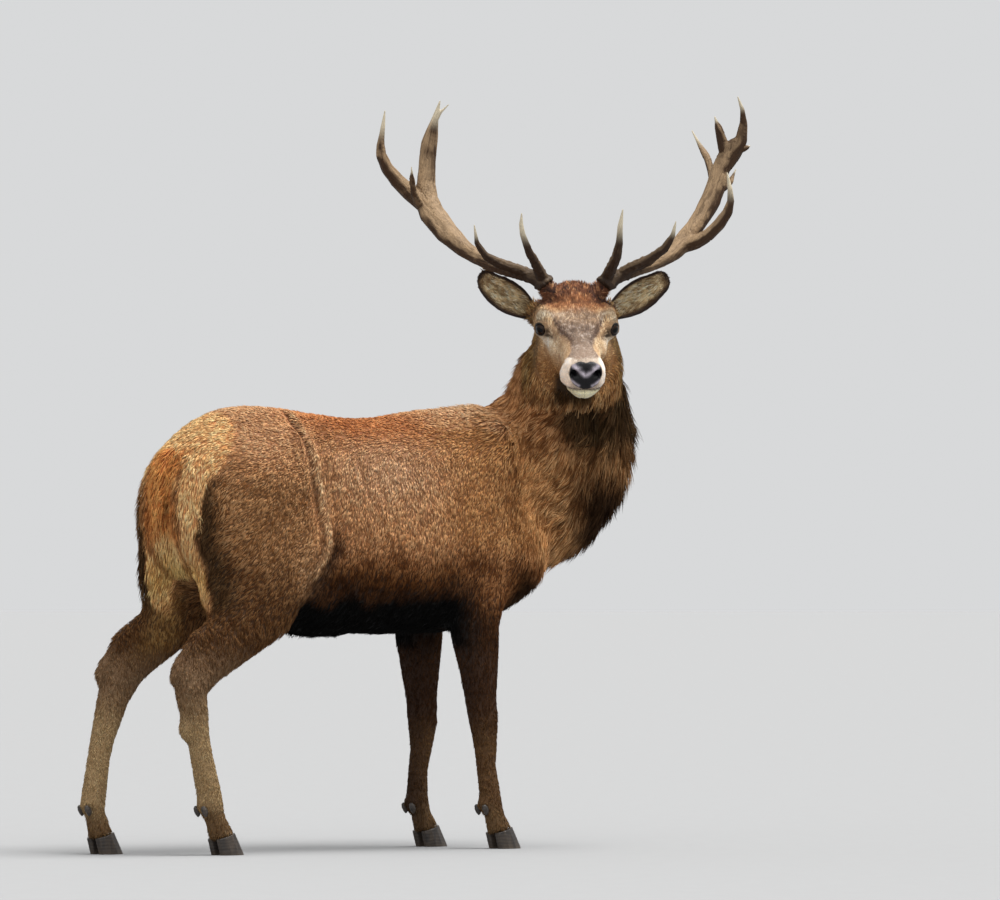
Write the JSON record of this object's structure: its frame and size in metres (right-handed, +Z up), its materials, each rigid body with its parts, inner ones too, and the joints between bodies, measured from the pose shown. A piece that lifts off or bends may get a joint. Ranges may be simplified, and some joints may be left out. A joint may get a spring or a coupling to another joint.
{
  "type": "red deer stag",
  "caption": "Life-size standing red deer stag with branching antlers and a maned neck, its head turned back over its side.",
  "frame": {"origin": "centre of the bottom of the bounding box, on the floor under the animal", "axes": "+X the way the trunk heads, +Y towards the animal's left side, +Z up"},
  "size_m": [1.8446, 0.6834, 2.01],
  "materials": {
    "coat": "short dense fur",
    "mane": "long shaggy fur",
    "leg_coat": "short flat fur",
    "ear_coat": "short fur, pale inside",
    "hoof": "dull horn",
    "antler": "pearled bone with polished tips",
    "eye": "wet and glossy"
  },
  "bodies": {
    "root": {"antler_left_back_tine": "antler", "antler_left_beam_lower": "antler", "antler_left_beam_upper": "antler", "antler_left_bez": "antler", "antler_left_brow": "antler", "antler_left_inner_prong": "antler", "antler_left_outer_prong": "antler", "antler_left_spur": "antler", "antler_left_trez": "antler", "antler_right_beam_lower": "antler", "antler_right_beam_upper": "antler", "antler_right_bez": "antler", "antler_right_brow": "antler", "antler_right_second_tip": "antler", "antler_right_spur": "antler", "antler_right_trez": "antler", "dewclaw_fore_left_inner": "hoof", "dewclaw_fore_left_outer": "hoof", "dewclaw_fore_right_inner": "hoof", "dewclaw_fore_right_outer": "hoof", "dewclaw_hind_left_inner": "hoof", "dewclaw_hind_left_outer": "hoof", "dewclaw_hind_right_inner": "hoof", "dewclaw_hind_right_outer": "hoof", "ear_left": "ear_coat", "ear_right": "ear_coat", "eye_left": "eye", "eye_right": "eye", "head": "coat", "hoof_fore_left_inner": "hoof", "hoof_fore_left_outer": "hoof", "hoof_fore_right_inner": "hoof", "hoof_fore_right_outer": "hoof", "hoof_hind_left_inner": "hoof", "hoof_hind_left_outer": "hoof", "hoof_hind_right_inner": "hoof", "hoof_hind_right_outer": "hoof", "leg_fore_left": "leg_coat", "leg_fore_right": "leg_coat", "leg_hind_left": "leg_coat", "leg_hind_right": "leg_coat", "neck": "mane", "tail": "coat", "trunk": "coat"}
  },
  "joints": []
}
